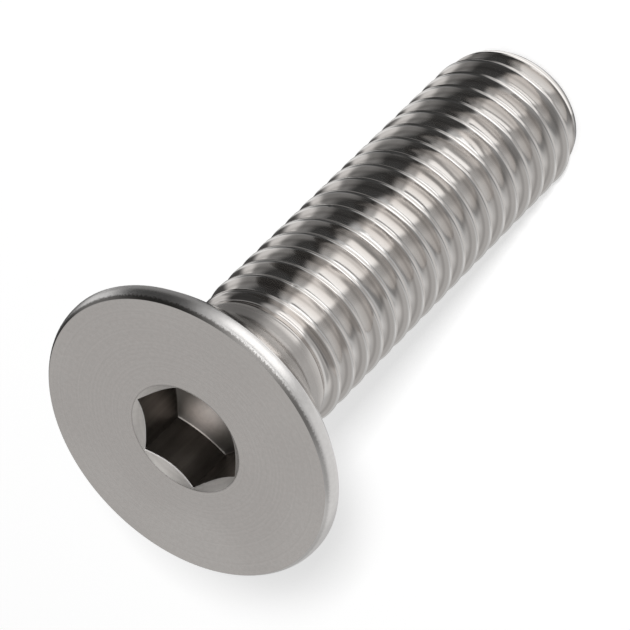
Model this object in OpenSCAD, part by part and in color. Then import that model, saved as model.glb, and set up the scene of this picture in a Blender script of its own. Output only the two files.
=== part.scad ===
// Countersunk socket screw, M8 x 1.25 x 30, stainless steel, threaded up to the head.
// One forged and thread-rolled piece. Millimetres. It stands on the flat end of its thread,
// centred on the Z axis, with the head's flat face up and the socket's corners on the X axis.

/* [Length] */

// Overall length, from the end of the thread to the head's flat face
length = 30; // [20:1:45]

/* [Head] */

// Diameter over the rim of the head
head_diameter = 15.7; // [14.5:0.1:17]
// Included angle of the seat under the head (degrees)
seat_angle = 90; // [80:1:100]
// Height of the rim, from the head's face to the start of the seat
rim_height = 0.85; // [0.6:0.05:1.4]
// Radius of the rounded front edge of the rim
rim_rounding = 0.6; // [0.3:0.05:0.8]
// Depth of that rounding below the head's face
rim_rounding_depth = 0.5; // [0.2:0.05:0.6]
// Small break where the rim meets the seat
rim_break = 0.12; // [0.05:0.01:0.2]

/* [Hex socket] */

// Size across the flats of the socket
socket_flats = 5; // [4:0.5:6]
// Depth of the flats at the corners of the socket
socket_depth = 2.85; // [2:0.05:3.4]
// Included angle of the shallow cone that closes the socket (degrees)
socket_floor_angle = 146; // [120:2:170]
// Gap between the socket's corners and the edge of its chamfered mouth
mouth_margin = 0.06; // [0:0.01:0.3]
// Included angle of the chamfered mouth (degrees)
mouth_angle = 104; // [80:2:130]

/* [Neck] */

// Diameter of the plain neck under the head
neck_diameter = 7.22; // [7:0.02:7.5]
// Radius of the fillet between the seat and the neck
neck_fillet = 0.7; // [0.2:0.1:1.2]
// Plain turned length below that fillet
neck_length = 0.1; // [0.05:0.05:3]

/* [Thread] */

// Nominal diameter of the thread
thread_diameter = 8; // [7.8:0.1:8.4]
// How far the finished crests lie inside the nominal diameter, over both sides
crest_allowance = 0.12; // [0:0.01:0.25]
// Pitch of the thread
pitch = 1.25; // [1:0.05:1.5]
// Angle round the axis at which a crest leaves the end face (degrees)
thread_clocking = 101; // [0:1:359]
// Turns over which the groove reaches its full depth below the neck
runout_turns = 1; // [0.5:0.1:2]

/* [End] */

// Diameter of the flat end face
end_diameter = 6.6; // [6:0.1:7]
// Width of the small chamfer round the end face
end_chamfer = 0.22; // [0.1:0.01:0.4]
// Length over which the crests taper towards the end
end_taper = 1.5; // [0.8:0.1:3]

/* [Smoothness] */

// Straight steps that make one turn of the thread
turn_steps = 36; // [24:2:42]
// Straight steps in each rounded edge
edge_steps = 6; // [3:1:10]

/* [Hidden] */

$fn = 96;

steel = [0.69, 0.68, 0.66];

head_r = head_diameter / 2;
neck_r = neck_diameter / 2;
crest_r = (thread_diameter - crest_allowance) / 2;
end_r = end_diameter / 2;

// Heights above the end face.
seat_top = length - rim_height;
seat_slope = tan(seat_angle / 2);
seat_bottom = seat_top - (head_r - neck_r) / seat_slope;
fillet_bottom = seat_bottom - neck_fillet * tan(seat_angle / 4);
neck_bottom = fillet_bottom - neck_length;
groove_top = neck_bottom - 0.35 * pitch;
full_thread = groove_top - runout_turns * pitch;

// ISO metric profile. Each station is a share of the pitch, counted from the middle of a crest,
// and a depth below the crests as a share of the pitch. The root is the rolled, rounded one.
root_round = 0.1443;
root_depth = 0.6134;
root_centre = root_depth - root_round;
station_share = [-0.0625, 0.0625, 0.375, 0.4375, 0.5, 0.5625, 0.625];
stations = len(station_share);
root_shares = [0.375, 0.4375, 0.5, 0.5625, 0.625];
thread_profile = concat(
    [[0, 0], [0.0625, 0]],
    [for (s = root_shares) [s, root_centre + sqrt(root_round * root_round - (s - 0.5) * (s - 0.5))]],
    [[0.9375, 0], [1, 0]]);

function share_of(v) = v - floor(v);

function smooth(t) = let (u = max(0, min(1, t))) u * u * (3 - 2 * u);

// Radius of the rolled thread at height z and angle a, before its two ends are shaped.
function rolled_radius(z, a) =
    crest_r - pitch * lookup(share_of(z / pitch - (a - thread_clocking) / 360), thread_profile);

// The plain neck lies a hair inside the turned one, which covers it.
neck_cover = 0.02;

// Near the head the groove fades into the neck.
function shank_radius(z, a) =
    let (full = smooth((groove_top - z) / (groove_top - full_thread)), plain = neck_r - neck_cover)
    plain + (rolled_radius(z, a) - plain) * full;

// The rolled length runs from the waste below the end face, trimmed off later, into the neck.
// Columns of stations climb with the helix. A station that falls outside that length takes the
// place of the column's end point, so every triangle keeps its area.
shank_bottom = -0.6 * pitch;
shank_top = neck_bottom + 0.3 * pitch;
turns = ceil((shank_top - shank_bottom) / pitch) + 3;
column = stations * turns;
settle = 0.03 * pitch;

function station_height(i, m) =
    shank_bottom + pitch * (i / turn_steps - 1 + floor(m / stations) + station_share[m % stations]);
function seated(z) =
    z < shank_bottom + settle ? shank_bottom : z > shank_top - settle ? shank_top : z;

// First and last station that column i uses.
function low(i) = max([for (m = [0:3 * stations]) if (station_height(i, m) < shank_bottom + settle) m]);
function high(i) = min([for (m = [column - 6 * stations:column - 1])
                        if (station_height(i, m) > shank_top - settle) m]);
lows = [for (i = [0:turn_steps - 1]) low(i)];
highs = [for (i = [0:turn_steps - 1]) high(i)];

// Number of the point for step i and station m, carried on to the next turn past the last column.
function point_at(i, m) =
    i == turn_steps ? point_at(0, m + stations)
                    : i * column + max(lows[i], min(highs[i], m));

function facet(a, b, c) = a == b || b == c || c == a ? [] : [[a, b, c]];

module threaded_shank() {
    start = thread_clocking + 360 * shank_bottom / pitch;
    wall = [for (i = [0:turn_steps - 1], m = [0:column - 1])
            let (a = start + 360 * i / turn_steps, z = seated(station_height(i, m)),
                 r = shank_radius(z, a))
            [r * cos(a), r * sin(a), z]];
    ends = [[0, 0, shank_bottom], [0, 0, shank_top]];
    bottom = len(wall);
    top = bottom + 1;
    skin = [for (i = [0:turn_steps - 1], m = [0:column - stations - 2])
            let (a = point_at(i, m), b = point_at(i + 1, m),
                 c = point_at(i + 1, m + 1), d = point_at(i, m + 1))
            each concat(facet(a, d, c), facet(a, c, b))];
    caps = [for (i = [0:turn_steps - 1])
            let (lo = point_at(i, 0), lo_next = point_at(i + 1, 0),
                 hi = point_at(i, column - stations - 1), hi_next = point_at(i + 1, column - stations - 1))
            each [[bottom, lo, lo_next], [top, hi_next, hi]]];
    polyhedron(concat(wall, ends), concat(skin, caps), convexity = 10);
}

// Profile of the head and neck, as half of its section.
module head_section() {
    round_x = head_r - rim_rounding;
    round_y = length - rim_rounding_depth;
    face_tilt = asin(rim_rounding_depth / rim_rounding);
    seat_lean = seat_angle / 2;
    break_x = head_r - rim_break * sin(seat_lean);
    fillet_x = neck_r + neck_fillet;
    polygon(concat(
        [[0, length]],
        [for (k = [0:edge_steps]) let (t = face_tilt * (1 - k / edge_steps))
            [round_x + rim_rounding * cos(t), round_y + rim_rounding * sin(t)]],
        [[head_r, seat_top + rim_break], [break_x, seat_top - rim_break * cos(seat_lean)]],
        [for (k = [0:edge_steps]) let (t = seat_lean * (1 - k / edge_steps))
            [fillet_x - neck_fillet * cos(t), fillet_bottom + neck_fillet * sin(t)]],
        [[neck_r, neck_bottom], [0, neck_bottom]]));
}

// Everything that the punch and the countersink take out of the head.
module socket_space() {
    corner_r = socket_flats / sqrt(3);
    floor_drop = corner_r / tan(socket_floor_angle / 2);
    above = 1;
    mouth_r = corner_r + mouth_margin;
    mouth_slope = tan(mouth_angle / 2);
    intersection() {
        translate([0, 0, length - socket_depth - floor_drop])
            cylinder(r = corner_r, h = socket_depth + floor_drop + above, $fn = 6);
        union() {
            translate([0, 0, length - socket_depth])
                cylinder(r = corner_r + above, h = socket_depth + above);
            translate([0, 0, length - socket_depth - floor_drop])
                cylinder(r1 = 0, r2 = corner_r, h = floor_drop);
        }
    }
    translate([0, 0, length - mouth_r / mouth_slope])
        cylinder(r1 = 0, r2 = mouth_r + above * mouth_slope, h = mouth_r / mouth_slope + above);
}

// What the lathe takes off the end: the waste below the face, the chamfer and the tapered crests.
module end_waste() {
    lead_x = end_r + end_chamfer;
    past = 0.1;
    past_z = end_taper + past * (end_taper - end_chamfer);
    reach = 1;
    rotate_extrude()
        polygon([[0, 0], [end_r, 0], [lead_x, end_chamfer],
                 [crest_r + past * (crest_r - lead_x), past_z], [crest_r + reach, past_z],
                 [crest_r + reach, shank_bottom - reach], [0, shank_bottom - reach]]);
}

module screw() {
    color(steel)
        difference() {
            union() {
                rotate_extrude() head_section();
                threaded_shank();
            }
            socket_space();
            end_waste();
        }
}

screw();
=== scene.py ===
# %% [markdown]
# # A countersunk socket screw
# A stainless steel screw, M8 x 1.25 and 30 mm long, threaded right up to its head. It is one piece
# of metal that was forged, turned and thread-rolled. The CAD model gives its sizes, and this file
# gives it a finer surface, its finishes and a small studio. It stands on its thread end with the
# head up. Blender counts in metres, so a size in millimetres is multiplied by MM.

# %% Load the packed model
from math import asin, cos, pi, radians, sin, sqrt, tan

import bmesh
import bpy
import numpy as np
from mathutils import Matrix, Vector


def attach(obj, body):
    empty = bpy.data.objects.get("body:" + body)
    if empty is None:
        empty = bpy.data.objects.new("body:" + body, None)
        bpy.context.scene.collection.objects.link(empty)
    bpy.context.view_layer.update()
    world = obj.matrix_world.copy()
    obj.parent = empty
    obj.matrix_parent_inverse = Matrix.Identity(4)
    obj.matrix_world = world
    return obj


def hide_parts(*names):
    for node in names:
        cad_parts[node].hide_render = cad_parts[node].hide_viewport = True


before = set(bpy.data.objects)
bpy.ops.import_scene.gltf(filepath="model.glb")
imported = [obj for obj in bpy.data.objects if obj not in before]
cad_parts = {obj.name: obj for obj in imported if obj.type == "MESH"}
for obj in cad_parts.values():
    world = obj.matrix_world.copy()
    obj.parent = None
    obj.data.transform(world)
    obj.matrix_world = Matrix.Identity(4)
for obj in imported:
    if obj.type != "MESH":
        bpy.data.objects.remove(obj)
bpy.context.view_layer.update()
scene = bpy.context.scene
scene.view_settings.view_transform = "Standard"
MM = 0.001

# %% [markdown]
# ## The camera
# The photograph looks down on the head's face with a long lens, and it is turned so that the screw
# runs from the lower left to the upper right. A camera can be placed by a matrix, by a constraint
# or by a few plain numbers. The numbers are kept here: where it looks, from which side and height,
# how far away it stands and how far it is rolled.

# %% Camera
AIM = Vector((-0.19, -0.01, 19.15)) * MM
SIDE = radians(-100.27)
HEIGHT = radians(40.81)
ROLL = radians(-134.96)
DISTANCE = 229.1 * MM
LENS = 276.5

toward_camera = Vector((cos(SIDE) * cos(HEIGHT), sin(SIDE) * cos(HEIGHT), sin(HEIGHT)))
level_right = Vector((-sin(SIDE), cos(SIDE), 0))
level_up = toward_camera.cross(level_right)
right = cos(ROLL) * level_right + sin(ROLL) * level_up
up = toward_camera.cross(right)
camera = bpy.data.objects.new("camera", bpy.data.cameras.new("camera"))
camera.matrix_world = Matrix.Translation(AIM + DISTANCE * toward_camera) @ Matrix(
    (right, up, toward_camera)).transposed().to_4x4()
camera.data.lens = LENS
camera.data.clip_start, camera.data.clip_end = 0.01, 20
scene.collection.objects.link(camera)
scene.camera = camera
print("Camera, mm:", [round(v / MM, 1) for v in camera.location])

# %% [markdown]
# ## Shader maths
# A material is a graph of nodes, and sums made of Math nodes are hard to read. Here a wire is a
# Python value: adding or multiplying two wires adds the Math node. Every other kind of node comes
# from one method that takes its type, its settings and the values or wires of its sockets.

# %% Wires
class Wire:
    """The output of a node, which can be used in a sum. An operator adds one Math node."""

    def __init__(self, board, socket):
        self.board, self.socket = board, socket

    def math(self, operation, *values):
        inputs = dict(enumerate(values))
        return self.board.node("ShaderNodeMath", {"operation": operation}, inputs)["Value"]

    def __add__(self, other): return self.math("ADD", self, other)
    def __sub__(self, other): return self.math("SUBTRACT", self, other)
    def __mul__(self, other): return self.math("MULTIPLY", self, other)
    def __truediv__(self, other): return self.math("DIVIDE", self, other)
    def __rsub__(self, other): return self.math("SUBTRACT", other, self)
    def __rtruediv__(self, other): return self.math("DIVIDE", other, self)
    def __pow__(self, other): return self.math("POWER", self, other)
    __radd__, __rmul__ = __add__, __mul__

    def step(self, start, end):
        """0 before start, 1 after end, and a smooth rise between them. start may be the larger."""
        return self.board.node("ShaderNodeMapRange", {"interpolation_type": "SMOOTHSTEP"}, {
            "Value": self, "From Min": start, "From Max": end})["Result"]


print("Wires ready:", Wire.step.__doc__)


# %% Boards
class Board:
    """The nodes of one material or world."""

    def __init__(self, owner):
        owner.use_nodes = True
        self.tree = owner.node_tree
        self.tree.nodes.clear()

    def fill(self, socket, value):
        """Links a wire to a socket, or sets the socket to a plain value."""
        if isinstance(value, Wire):
            self.tree.links.new(value.socket, socket)
        else:
            socket.default_value = value

    def node(self, kind, settings=None, inputs=None):
        """Adds a node, sets its settings first, then its sockets. Returns its outputs by name."""
        node = self.tree.nodes.new(kind)
        for name, value in (settings or {}).items():
            setattr(node, name, value)
        for name, value in (inputs or {}).items():
            self.fill(node.inputs[name], value)
        return {out.name: Wire(self, out) for out in node.outputs if out.enabled}

    def mix(self, mask, tone_a, tone_b):
        """tone_a where mask is 0 and tone_b where it is 1, for colours. A Mix node has sockets for
        numbers too: its colours go in at 6 and 7 and come out at 2."""
        node = self.tree.nodes.new("ShaderNodeMix")
        node.data_type = "RGBA"
        self.fill(node.inputs[0], mask)
        for index, tone in ((6, tone_a), (7, tone_b)):
            self.fill(node.inputs[index], tone if isinstance(tone, Wire) else (*tone, 1))
        return Wire(self, node.outputs[2])


print("A board can:", [name for name in vars(Board) if not name.startswith("_")])

# %% [markdown]
# ## What the metal sees
# Bare metal has hardly any colour of its own: it shows what stands round it. The real screw lay in
# a white light tent with darker gaps between its panels, and those gaps are the dark patches on
# the thread. Lamps and cards could stand round the screw, but they would have to be moved by trial.
# Here the tent is a pattern that only reflections see: a base tone, and panels with soft edges. A
# panel spans two bearings, counted from the camera's side towards its right hand, and two heights
# above the horizon, all in degrees. A later panel covers an earlier one.

# %% Panels of the tent
TENT_BASE = 0.55
PANELS = [
    # two bearings, two heights, softness, tone
    (-200, 200, 84, 99, 5, 0.25),  # dim patch overhead
    (-96, -26, 38, 83, 9, 0.24),  # grey card high on the left
    (-96, -30, 73, 84, 4, 0.36),  # its paler upper end
    (-118, -38, -99, 36, 8, 0.76),  # pale wall and floor on the left
    (-100, -30, 3, 34, 6, 0.45),  # grey strip across that wall
    (-16, 26, 46, 82, 5, 1.50),  # bright box in front, its upper part
    (-17, 32, -99, 44, 5, 1.50),  # its lower part
    (-19, 35, -99, -33, 5, 1.12),  # the floor before it
    (-24, 35, -31, -20, 3, 0.50),  # gap between that floor and the box
    (-24, 30, 76, 83, 2, 0.22),  # dark line near the top of the box
    (-24, 30, 3, 12, 2, 0.26),  # dark line across the box
    (108, 132, -99, 24, 5, 0.75),  # pale wall and floor on the right
    (98, 122, 26, 84, 7, 0.24),  # grey card high on the right
    (122, 134, 24, 66, 3, 0.85),  # bright strip beside that card
    (134, 160, -60, 54, 4, 0.08),  # dark gap past the right wall
    (152, 190, -60, 14, 6, 0.08),  # dark gap behind
    (50, 104, -99, 84, 8, 0.05),  # wide dark gap on the right
    (44, 125, -34, -15, 4, 0.26),  # paler strip across that gap
    (-40, 150, -99, -73, 2, 1.25),  # bright floor round the screw's end
    (-200, 200, -99, -76.6, 0.6, 0.06),  # shadow where the end meets the floor
]
print("Tent panels:", len(PANELS))

# %% Tent pattern
FRONT = (cos(SIDE), sin(SIDE), 0)
RIGHT = (-sin(SIDE), cos(SIDE), 0)


def tent(board, way):
    """Tone of the tent in a direction. Each panel replaces the tone where its mask is 1: the mask
    rises from 0 to 1 over twice its softness at each of its four edges."""
    front, side, rise = [
        board.node("ShaderNodeVectorMath", {"operation": "DOT_PRODUCT"}, {0: way, 1: axis})["Value"]
        for axis in (FRONT, RIGHT, (0, 0, 1))]
    bearing = front.math("ARCTAN2", side, front) * (180 / pi)
    height = rise.math("ARCSINE", rise) * (180 / pi)
    tone = TENT_BASE
    for first, last, low, high, soft, level in PANELS:
        mask = bearing.step(first - soft, first + soft) * bearing.step(last + soft, last - soft)
        mask = mask * height.step(low - soft, low + soft) * height.step(high + soft, high - soft)
        tone = tone * (1 - mask) + mask * level
    return tone


print("Bearings count from", [round(v, 2) for v in FRONT], "towards", [round(v, 2) for v in RIGHT])

# %% [markdown]
# ## The world
# The camera sees plain white, reflections see the tent, and pale surfaces are lit by an even,
# dimmer white. An image wrapped round the scene would show in all three. One background is enough
# here, because the Light Path node tells which kind of ray is asking.

# %% World
AMBIENT = 0.35
world = scene.world or bpy.data.worlds.new("world")
scene.world = world
sky = Board(world)
ray = sky.node("ShaderNodeLightPath")
seen = tent(sky, sky.node("ShaderNodeTexCoord")["Generated"])
tone = ray["Is Camera Ray"] + (1 - ray["Is Camera Ray"]) * (
    ray["Is Glossy Ray"] * seen + (1 - ray["Is Glossy Ray"]) * AMBIENT)
background = sky.node("ShaderNodeBackground", None, {"Color": (1, 1, 1, 1), "Strength": tone})
sky.node("ShaderNodeOutputWorld", None, {"Surface": background["Background"]})
print("World nodes:", len(sky.tree.nodes))

# %% [markdown]
# ## The floor
# A plain pale disc under the screw. The camera sees it lit by the soft box and lifted to white, and
# it keeps the screw's soft shadow. The shank and the rim face downwards as the camera sees them, so
# they mirror the floor. A plain floor would make them plain, so for reflections it carries the
# tent's lower panels, as they look from a point half way up the screw.

# %% Floor
FLOOR_RADIUS = 3.0
bm = bmesh.new()
bmesh.ops.create_circle(bm, cap_ends=True, segments=96, radius=FLOOR_RADIUS)
floor = bpy.data.objects.new("floor", bpy.data.meshes.new("floor"))
bm.to_mesh(floor.data)
bm.free()
scene.collection.objects.link(floor)
print("Floor radius, m:", FLOOR_RADIUS)

# %% Pale floor
FLOOR_COLOUR = (0.8, 0.8, 0.8, 1)
FLOOR_LIFT = 0.46
MIRROR_EYE = (0, 0, 15 * MM)
paper = bpy.data.materials.new("pale floor")
floor.data.materials.append(paper)
board = Board(paper)
ray = board.node("ShaderNodeLightPath")
from_eye = board.node("ShaderNodeVectorMath", {"operation": "SUBTRACT"}, {
    0: board.node("ShaderNodeTexCoord")["Object"], 1: MIRROR_EYE})["Vector"]
way = board.node("ShaderNodeVectorMath", {"operation": "NORMALIZE"}, {0: from_eye})["Vector"]
mirrored = board.node("ShaderNodeEmission", None, {"Strength": tent(board, way)})["Emission"]
plain = board.node("ShaderNodeBsdfDiffuse", None, {"Color": FLOOR_COLOUR})["BSDF"]
lift = board.node("ShaderNodeEmission", None, {
    "Strength": ray["Is Camera Ray"] * FLOOR_LIFT})["Emission"]
lit = board.node("ShaderNodeAddShader", None, {0: plain, 1: lift})["Shader"]
both = board.node("ShaderNodeMixShader", None, {0: ray["Is Glossy Ray"], 1: lit, 2: mirrored})
board.node("ShaderNodeOutputMaterial", None, {"Surface": both["Shader"]})
print("Floor nodes:", len(board.tree.nodes))

# %% [markdown]
# ## The lamp
# The photograph's shadow is soft and lies close along the shank. One small soft box stands almost
# at the camera, a touch to its right. Its power could be found by trial. Here it follows from the
# level that it gives the floor: light falls with the square of the distance, and with the slant at
# which it arrives.

# %% Soft box
LAMP_DISTANCE = 0.6
LAMP_SIZE = 0.035
LAMP_LEVEL = 0.38
LAMP_SHIFT = 0.06
lamp_way = (toward_camera + LAMP_SHIFT * level_right).normalized()
power = LAMP_LEVEL * pi * pi * LAMP_DISTANCE ** 2 / lamp_way.z
lamp = bpy.data.objects.new("soft box", bpy.data.lights.new("soft box", "AREA"))
lamp.data.energy, lamp.data.size = power, LAMP_SIZE
lamp.matrix_world = Matrix.Translation(lamp_way * LAMP_DISTANCE) @ lamp_way.to_track_quat(
    "Z", "Y").to_matrix().to_4x4()
lamp.visible_glossy = False
scene.collection.objects.link(lamp)
print("Soft box power, W:", round(power, 2))

# %% [markdown]
# ## Sizes
# These are the sizes of the CAD model, in millimetres, with a softer rim and the small break and
# fillet that only this surface has. Heights count from the flat thread end.

# %% Sizes
LENGTH = 30
HEAD_R, RIM_HEIGHT, RIM_ROUND, RIM_ROUND_DEPTH = 7.85, 0.85, 0.9, 0.62
RIM_BREAK, BREAK_ROUND = 0.12, 0.17
FLATS, SOCKET_DEPTH, FLOOR_ANGLE, MOUTH_MARGIN, MOUTH_ANGLE = 5, 2.85, 146, 0.06, 104
SOCKET_EDGE, SOCKET_FILLET = 0.03, 0.12
NECK_R, NECK_FILLET, NECK_LENGTH = 3.61, 0.7, 0.1
CREST_R, PITCH, CLOCKING, RUNOUT = 3.94, 1.25, 101, 1
END_R, CHAMFER, TAPER = 3.3, 0.22, 1.5

seat_top = LENGTH - RIM_HEIGHT
seat_bottom = seat_top - (HEAD_R - NECK_R)
fillet_bottom = seat_bottom - NECK_FILLET * tan(pi / 8)
neck_bottom = fillet_bottom - NECK_LENGTH
groove_top = neck_bottom - 0.35 * PITCH
full_thread = groove_top - RUNOUT * PITCH
print("Seat, neck and groove, mm up:", [round(v, 2) for v in (seat_top, seat_bottom, groove_top)])

# %% [markdown]
# ## The thread's surface
# Rolling presses the thread between dies. Its section is the metric one: a narrow crest, flanks at
# 60 degrees and a rounded root. A thread could be a helix with a Screw modifier, but then its two
# ends would need cutting. Here the radius is a function of height and angle, and the rows of the
# grid climb with the helix, so the crest stays crisp however coarse the grid is.

# %% Thread profile
CREST_HALF, CREST_SOFT = 0.0625, 0.02
FOLD_HALF, FOLD_DEPTH = 0.03, 0.006
FLANK_STEEP, FLANK_EASE, BOWL_START = 2.2, 1.5, 0.75
ROOT_DEPTH = 0.6134


def soft_rise(x, soft):
    """0 where x is below -soft, x where it is above soft, and a parabola between them."""
    return np.where(abs(x) < soft, (x + soft) ** 2 / (4 * soft), np.maximum(x, 0))


def thread_depth(share):
    """Depth below the crest as a share of the pitch, at a share of the pitch from a crest's middle.
    From the crest's edge the flank falls steeply, and its slope eases evenly with the distance
    towards the root. In the last quarter the slope falls off with the square of the distance, so
    the root is a round bowl. The crest carries the fold that rolling leaves, a small dip."""
    along = abs(share - np.round(share))
    t = soft_rise(along - CREST_HALF, CREST_SOFT) / (0.5 - CREST_HALF)
    early = FLANK_STEEP * t - FLANK_EASE * t ** 2 / 2
    bowl, slope = 1 - BOWL_START, FLANK_STEEP - FLANK_EASE * BOWL_START
    u = np.maximum(t - BOWL_START, 0)
    start = FLANK_STEEP * BOWL_START - FLANK_EASE * BOWL_START ** 2 / 2
    late = start + slope * (u - u ** 3 / (3 * bowl ** 2))
    full = start + slope * bowl * 2 / 3
    fold = FOLD_DEPTH * np.maximum(1 - (along / FOLD_HALF) ** 2, 0)
    return np.where(t > BOWL_START, late, early) / full * ROOT_DEPTH + fold


print("Thread depth in the root, mm:", round(float(thread_depth(0.5)) * PITCH, 3))


# %% Shank radius
def smooth(t):
    """0 before 0, 1 after 1, and 3t^2 - 2t^3 between them."""
    t = np.clip(t, 0, 1)
    return t * t * (3 - 2 * t)


def shank_radius(height, angle):
    """Radius of the shank: crest radius less the thread's depth, faded to the neck's radius over
    the run-out, and never outside the taper and chamfer of the end."""
    rolled = CREST_R - PITCH * thread_depth(height / PITCH - (angle - CLOCKING) / 360)
    full = smooth((groove_top - height) / (groove_top - full_thread))
    radius = NECK_R + (rolled - NECK_R) * full
    taper = END_R + CHAMFER + (CREST_R - END_R - CHAMFER) * (height - CHAMFER) / (TAPER - CHAMFER)
    lathe = np.where(height < CHAMFER, END_R + height, np.where(height < TAPER, taper, np.inf))
    return np.minimum(radius, lathe)


print("Shank radius in the neck, mm:", float(shank_radius(neck_bottom, 0)))

# %% [markdown]
# ### The shank's grid
# A column runs up the shank at each angle. Its points sit at fixed stations of the thread's
# section, close together on the crest and wider on the flanks. A point that would fall past either
# end of the rolled length settles on that end, so no sliver is left there.

# %% Shank rows
COLUMNS = 168
CHAMFER_ROWS = 4
SETTLE = 0.02 * PITCH
angle = np.linspace(0, 360, COLUMNS + 1)
half = np.array([0.01, 0.02, 0.03, 0.0475, 0.0625, 0.0775, 0.095, 0.16, 0.23, 0.3, 0.37, 0.44])
stations = np.concatenate([[0], half, [0.5], 1 - half[::-1]])
turn = np.arange(-2, int(neck_bottom / PITCH) + 3)
share = (turn[:, None] + stations[None, :]).ravel()
rise = PITCH * (share[:, None] + ((angle - CLOCKING) / 360)[None, :])
rise = np.where(rise < CHAMFER + SETTLE, CHAMFER, rise)
rise = np.where(rise > groove_top - SETTLE, groove_top, rise)
low = np.linspace(0, CHAMFER, CHAMFER_ROWS, endpoint=False)
shank_z = np.concatenate([np.repeat(low[:, None], COLUMNS + 1, 1), rise])
shank_r = shank_radius(shank_z, angle[None, :])
print("Shank grid:", shank_z.shape)

# %% [markdown]
# ## The head
# The head was forged and turned, so it is a section carried round the axis: neck, fillet, seat,
# rim, rounded edge and face. A Bevel modifier could round a plain section, but arcs give each edge
# its own radius. A row a hair away from a rounding keeps the shading of the flat beside it flat.

# %% Head rows
HAIR = 0.02
SEAT_RINGS, FACE_RINGS = (5.5, 7.4), (6.8, 5.5, 4.2, 3.3)


def arc(x, y, radius, start, end, steps):
    """Points on a circle round (x, y) from one angle to another, in degrees."""
    turn = np.radians(np.linspace(start, end, steps))
    return np.stack([x + radius * np.cos(turn), y + radius * np.sin(turn)], 1)


tilt = np.degrees(asin(RIM_ROUND_DEPTH / RIM_ROUND))
face_edge = HEAD_R - RIM_ROUND + RIM_ROUND * cos(radians(tilt))
section = np.concatenate([
    [[NECK_R, groove_top + HAIR], [NECK_R, neck_bottom], [NECK_R, fillet_bottom - HAIR]],
    arc(NECK_R + NECK_FILLET, fillet_bottom, NECK_FILLET, 180, 135, 8),
    [[ring, seat_bottom + ring - NECK_R] for ring in SEAT_RINGS],
    arc(HEAD_R - BREAK_ROUND, seat_top + RIM_BREAK, BREAK_ROUND, -45, 0, 5),
    [[HEAD_R, LENGTH - RIM_ROUND_DEPTH - 2 * HAIR]],
    arc(HEAD_R - RIM_ROUND, LENGTH - RIM_ROUND_DEPTH, RIM_ROUND, 0, tilt, 10),
    [[ring, LENGTH] for ring in (face_edge - HAIR, *FACE_RINGS)],
])
head_r = np.repeat(section[:, :1], COLUMNS + 1, 1)
head_z = np.repeat(section[:, 1:], COLUMNS + 1, 1)
print("Head section points:", len(section))

# %% [markdown]
# ## The socket
# The hexagon was punched. It could be cut with a Boolean modifier, which leaves untidy faces. Its
# walls are six flats, which on this grid are rows whose radius changes with the angle. The floor is
# the shallow cone that the punch leaves, and the mouth is a small countersink that only bites
# between the corners, with a fine break along its inner edge.


# %% Socket rows
def hexagon(angle):
    """Distance from the axis to the socket's wall: half the flats over the cosine of the angle
    from the middle of the nearest flat."""
    return FLATS / 2 / np.cos(np.radians(np.mod(angle, 60) - 30))


mouth_slope, floor_slope = tan(radians(MOUTH_ANGLE / 2)), tan(radians(FLOOR_ANGLE / 2))
wall_r = hexagon(angle)
mouth_r = FLATS / sqrt(3) + MOUTH_MARGIN
mouth_width = mouth_r - wall_r - SOCKET_EDGE
wall_top = LENGTH - (mouth_r - wall_r) / mouth_slope
apex = LENGTH - SOCKET_DEPTH - FLATS / sqrt(3) / floor_slope
wall_foot = apex + wall_r / floor_slope
flat = np.ones(COLUMNS + 1)

rows = [(flat * (mouth_r + SOCKET_EDGE), flat * LENGTH)]
rows += [(mouth_r - mouth_width * t, LENGTH - mouth_width * t / mouth_slope)
         for t in (0, 0.5, 0.9, 1)]
rows += [(wall_r, wall_top - SOCKET_EDGE + (wall_foot - wall_top) * t) for t in (0, 0.02, 0.3, 0.6)]
rows += [(wall_r - SOCKET_FILLET * (1 - cos(a)), wall_foot + SOCKET_FILLET * (1 - sin(a)))
         for a in np.radians((0, 25, 50, 73))]
rows += [(wall_r * t, apex + wall_r * t / floor_slope) for t in (0.9, 0.8, 0.6, 0.4, 0.2, 0.05, 0)]
socket_r, socket_z = (np.stack(grid) for grid in zip(*rows))
print("Socket floor's middle, mm below the face:", round(LENGTH - apex, 2))

# %% [markdown]
# ## One closed skin
# The rows run from the middle of the end face, up the shank, over the head and down to the middle
# of the socket's floor. The first and last column meet and both poles are single points, so the
# doubles are merged, and the skin is closed.

# %% Skin
END_RINGS = (0, 1.2, 2.4, 3.2)
MERGE, SLIVER = 0.0005 * MM, 0.0002 * MM
SHARP = radians(28)
end_face = np.array(END_RINGS)[:, None] * flat
skin_r = np.concatenate([end_face, shank_r, head_r, socket_r])
skin_z = np.concatenate([end_face * 0, shank_z, head_z, socket_z])


def skin_mesh(name, radius, height):
    """A closed mesh from rows of radius and height over the angle: x = r cos a, y = r sin a."""
    turn = np.radians(angle)
    points = np.stack([radius * np.cos(turn), radius * np.sin(turn), height], -1) * MM
    number = np.arange(radius.size).reshape(radius.shape)
    quads = np.stack([number[:-1, :-1], number[:-1, 1:], number[1:, 1:], number[1:, :-1]], -1)
    mesh = bpy.data.meshes.new(name)
    mesh.from_pydata(points.reshape(-1, 3).tolist(), [], quads.reshape(-1, 4).tolist())
    bm = bmesh.new()
    bm.from_mesh(mesh)
    bmesh.ops.remove_doubles(bm, verts=bm.verts, dist=MERGE)
    bmesh.ops.dissolve_degenerate(bm, edges=bm.edges, dist=SLIVER)
    bm.to_mesh(mesh)
    open_edges = sum(not edge.is_manifold for edge in bm.edges)
    triangles = sum(len(face.verts) - 2 for face in bm.faces)
    print(name, "triangles:", triangles, "open edges:", open_edges,
          "volume, mm3:", round(bm.calc_volume(signed=True) / MM ** 3, 1))
    bm.free()
    mesh.polygons.foreach_set("use_smooth", np.ones(len(mesh.polygons), bool))
    mesh.set_sharp_from_angle(angle=SHARP)
    return mesh


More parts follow.
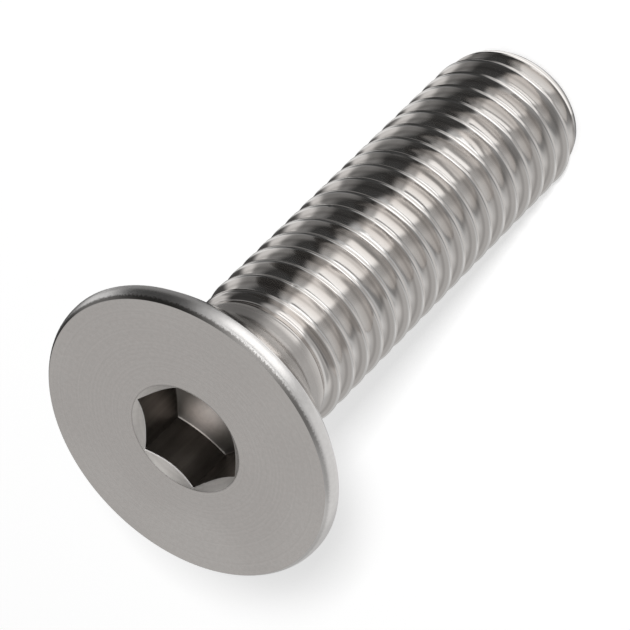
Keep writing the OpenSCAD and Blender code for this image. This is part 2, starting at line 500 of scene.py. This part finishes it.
screw = bpy.data.objects.new("steel_screw", skin_mesh("steel_screw", skin_r, skin_z))
scene.collection.objects.link(screw)

# %% [markdown]
# ## Stainless steel
# One metal with several finishes: a turned, satin head, a brighter rolled thread and a dark punched
# socket. Each finish could be a material of its own, but then its border would follow the edges of
# the faces. Here one material blends them with masks, which are 1 on their part of the screw and 0
# elsewhere. They are worked out from height, radius and the place across the thread, in
# millimetres.

# %% Places on the screw
steel = bpy.data.materials.new("stainless steel")
screw.data.materials.append(steel)
board = Board(steel)
place = board.node("ShaderNodeTexCoord")["Object"]
split = board.node("ShaderNodeSeparateXYZ", None, {"Vector": place})
x, y, height = (split[axis] * (1 / MM) for axis in "XYZ")
radius = (x * x + y * y) ** 0.5
turn = y.math("ARCTAN2", y, x) * (180 / pi)
winding = height / PITCH - (turn - CLOCKING) / 360
share = winding.math("FRACT", winding)
print("Nodes for the places:", len(board.tree.nodes))

# %% Masks for the parts
NECK_SHADE_R, NECK_SHADE_TOP = 4.2, 25.9
on_head = height.step(groove_top - 0.3, groove_top + 0.3)
on_thread = 1 - height.step(full_thread, groove_top)
on_end = height.step(2 * CHAMFER, 2 * CHAMFER - 0.1)
on_neck = on_head * radius.step(NECK_SHADE_R + 0.4, NECK_SHADE_R) * height.step(
    NECK_SHADE_TOP + 0.3, NECK_SHADE_TOP)
on_seat = on_head * radius.step(3.9, 4.4) * height.step(seat_top, seat_top - 0.1)
on_rim = radius.step(face_edge - 0.02, face_edge + 0.01) * height.step(
    seat_top - 0.05, seat_top + 0.05)
print("Masks of the outside:", len(board.tree.nodes), "nodes so far")

# %% Masks for the socket
SOCKET_BELOW = LENGTH - 4
in_socket = height.step(SOCKET_BELOW, SOCKET_BELOW + 0.2) * radius.step(
    mouth_r + 0.02, mouth_r - 0.06) * (1 - height.step(LENGTH - 0.2, LENGTH - 0.02))
on_floor = in_socket * height.step(LENGTH - SOCKET_DEPTH + 0.05, LENGTH - SOCKET_DEPTH - 0.05)
above_cone = height + (mouth_r - radius) / mouth_slope - LENGTH
in_mouth = radius.step(mouth_r + 0.02, mouth_r - 0.02) * above_cone.step(-0.05, -0.03)
print("Masks of the socket:", len(board.tree.nodes), "nodes so far")


# %% Noises
def noise(scale, detail=2.0, where=place):
    """Soft noise from 0 to 1, with the given number of cells in a millimetre."""
    return board.node("ShaderNodeTexNoise", None, {
        "Vector": where, "Scale": scale / MM, "Detail": detail})["Fac"]


def stretched(*scales):
    """The place, times a scale on each axis. A small scale draws a noise out along its axis."""
    return board.node("ShaderNodeVectorMath", {"operation": "MULTIPLY"}, {
        0: place, 1: scales})["Vector"]


def distance_to(spot):
    """Distance in metres from a spot that is given in millimetres."""
    return board.node("ShaderNodeVectorMath", {"operation": "DISTANCE"}, {
        0: place, 1: [v * MM for v in spot]})["Value"]


round_thread = stretched(0.3, 0.3, 1)
wave, lines = noise(0.85, 1.0, round_thread), noise(7.0, 0.0, round_thread)
streaks = noise(3.0, 4.0, stretched(1, 1, 0.08))
rings = board.node("ShaderNodeCombineXYZ", None, {"X": radius * MM, "Y": height * MM})["Vector"]
turned, fine = noise(10.0, 3.0, rings), noise(5.0, 4.0)
beads, clouds = noise(12.0), noise(0.14, 1.0)
print("Noises: waves and lines round the thread, streaks, turned rings, grain, beads and clouds")

# %% [markdown]
# ### The thread's colours
# The dies slid over the flanks and the root and burnished them. The edge of the crest on the head's
# side catches the most wear. On the start of the flank beside it a dark line is painted as shade, a
# dark reflection. The last part of the end is dull.

# %% Thread colours
SATIN, BURNISHED, WORN = (0.66, 0.628, 0.602), (0.78, 0.765, 0.75), (0.84, 0.82, 0.80)
FLANK_SHADE_TONE, DULL_END = (0.20, 0.185, 0.17), (0.16, 0.152, 0.145)
burnish = share.step(0.20, 0.40) * share.step(0.95, 0.85) * on_thread
edges = share.step(0.030, 0.055) * share.step(0.105, 0.08) * on_thread
# The mask named fold paints a dark line as shade on the start of the flank, beside the crest.
fold = share.step(0.14, 0.185) * share.step(0.24, 0.19) * on_thread
colour = board.mix(burnish, SATIN, BURNISHED)
colour = board.mix(edges, colour, WORN)
colour = board.mix(fold * 0.32, colour, FLANK_SHADE_TONE)
colour = board.mix(on_end * 0.5, colour, DULL_END)
print("Thread colours:", SATIN, BURNISHED, WORN)

# %% [markdown]
# ### The rim's and the head's colours
# The rim is polished by handling. Below the face's edge a dark, slightly beaded line is painted as
# shade, a dark reflection, which is paler on one side of the head. Soft pale clouds lie over the
# satin.

# %% Rim and head colours
POLISHED, PAINTED_RIM_SHADE, CLOUD = (0.86, 0.85, 0.84), (0.09, 0.085, 0.08), (0.80, 0.765, 0.735)
SHADE_FADE_SIDE = radians(165)
# Painted shade: a dark reflection line under the face's edge, weaker within 50 degrees of one
# bearing.
shade = on_rim * (height + (beads - 0.5) * 0.2).step(LENGTH - 0.22, LENGTH - 0.10)
away = (x * cos(SHADE_FADE_SIDE) + y * sin(SHADE_FADE_SIDE)) / radius
shade = shade * (0.9 - away.step(cos(radians(70)), cos(radians(50))) * 0.6)
colour = board.mix(on_rim * 0.85, colour, POLISHED)
colour = board.mix(shade, colour, PAINTED_RIM_SHADE)
colour = board.mix(on_head * clouds.step(0.4, 0.62) * 0.3, colour, CLOUD)
print("The rim's line is paler within 50 degrees of", round(float(np.degrees(SHADE_FADE_SIDE))))

# %% [markdown]
# ### The socket's colours
# The walls are painted dark as shade in the recess, with streaks along the punch's travel. The
# floor is painted dark as shade too, with one painted highlight, a pale patch. The countersunk
# mouth is pale, with a painted highlight, a thin bright line along its inner edge, and its outer
# edge is a little darker than the face.

# %% Socket colours
RECESS_SHADE, SOCKET_FLOOR_SHADE, PAINTED_HIGHLIGHT = (0.165, 0.152, 0.14), (0.20, 0.185, 0.17), (0.86, 0.78, 0.73)
MOUTH, MOUTH_GLINT, LIP = (0.76, 0.73, 0.70), (0.98, 0.96, 0.94), (0.25, 0.235, 0.22)
HIGHLIGHT_SPOT = (0.3, 1.6, 26.8)
# Painted highlight: a pale glow on the socket's floor round one spot.
socket_highlight = distance_to(HIGHLIGHT_SPOT).step(1.5 * MM, 0.1 * MM)
# Painted highlight: a thin, nearly white line along the mouth's inner edge.
mouth_glint = in_mouth * above_cone.step(-0.003, -0.012)
lip = radius.step(mouth_r - 0.03, mouth_r) * radius.step(mouth_r + 0.05, mouth_r + 0.02)
lip = lip * height.step(LENGTH - 0.6, LENGTH - 0.5)
# The socket's floor is painted dark as shade, with the painted highlight on it.
socket_floor_shade_and_highlight = board.mix(socket_highlight * (0.75 + streaks * 0.5), SOCKET_FLOOR_SHADE, PAINTED_HIGHLIGHT)
# Painted shade: the socket's walls are painted dark, with streaks along the punch's travel.
colour = board.mix(in_socket * (1 - in_mouth) * (1 - streaks * 0.6), colour, RECESS_SHADE)
colour = board.mix(on_floor, colour, socket_floor_shade_and_highlight)
colour = board.mix(in_mouth, colour, MOUTH)
colour = board.mix(mouth_glint, colour, MOUTH_GLINT)
colour = board.mix(lip * 0.45, colour, LIP)
print("Middle of the scuffed patch, mm:", HIGHLIGHT_SPOT)

# %% [markdown]
# ### Marks of turning, and the neck
# The lathe's fine rings mottle the head a little. The neck under it is duller and blotched.

# %% Turned head and dull neck
RING, DULL_NECK = (0.30, 0.28, 0.26), (0.33, 0.315, 0.30)
mottle = on_head * (turned * 0.5 + fine * 0.5).step(0.35, 0.65)
colour = board.mix(mottle * 0.12, colour, RING)
colour = board.mix(on_neck * (0.3 + wave * 0.5), colour, DULL_NECK)
print("Nodes up to the colour:", len(board.tree.nodes))

# %% [markdown]
# ### Gloss and fine relief
# Thread and seat are the smoothest, and the countersunk mouth is the roughest. Rolling leaves the
# thread's surface gently wavy, which makes its reflections wander. Three small nicks sit on the
# crests, where the photograph shows them. Such relief is too fine for the mesh, so a Bump node
# tilts the shading instead.

# %% Roughness and bumps
NICKS = [(2.19, -3.28, 10.70), (2.50, -3.05, 15.72), (0.79, -3.86, 21.88)]
NICK_R, NICK_MIDDLE = 0.17 * MM, 0.05 * MM
BUMP_DEPTH = 0.09 * MM
nicks = sum(distance_to(spot).step(NICK_R, NICK_MIDDLE) for spot in NICKS)
rough = (0.08 + wave * 0.04 + (on_head - on_seat) * 0.10 + on_rim * 0.08 + on_neck * 0.12
         + on_end * 0.15 + in_mouth * 0.3 + in_socket * 0.1)
relief = (wave * (1 - on_head + on_neck * 0.5) * 1.7 + lines * 0.01 - nicks * 0.07
          + (turned + fine) * (on_head - on_seat) * (1 - on_neck) * 0.02)
bumps = board.node("ShaderNodeBump", None, {
    "Strength": 1.0, "Distance": BUMP_DEPTH, "Height": relief})["Normal"]
print("Nicks:", len(NICKS))

# %% Steel
metal = board.node("ShaderNodeBsdfPrincipled", None, {
    "Base Color": colour, "Metallic": 1.0, "Roughness": rough, "Normal": bumps})["BSDF"]
board.node("ShaderNodeOutputMaterial", None, {"Surface": metal})
print("Steel nodes:", len(board.tree.nodes))

# %% [markdown]
# ## Tie the skin to the CAD model
# The screw has no moving part, so the skin rides on the one body. It takes the place of the CAD
# model's node, which is the same screw with a coarser surface.

# %% Tie the skin to the CAD model
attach(screw, "root")
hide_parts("screw")
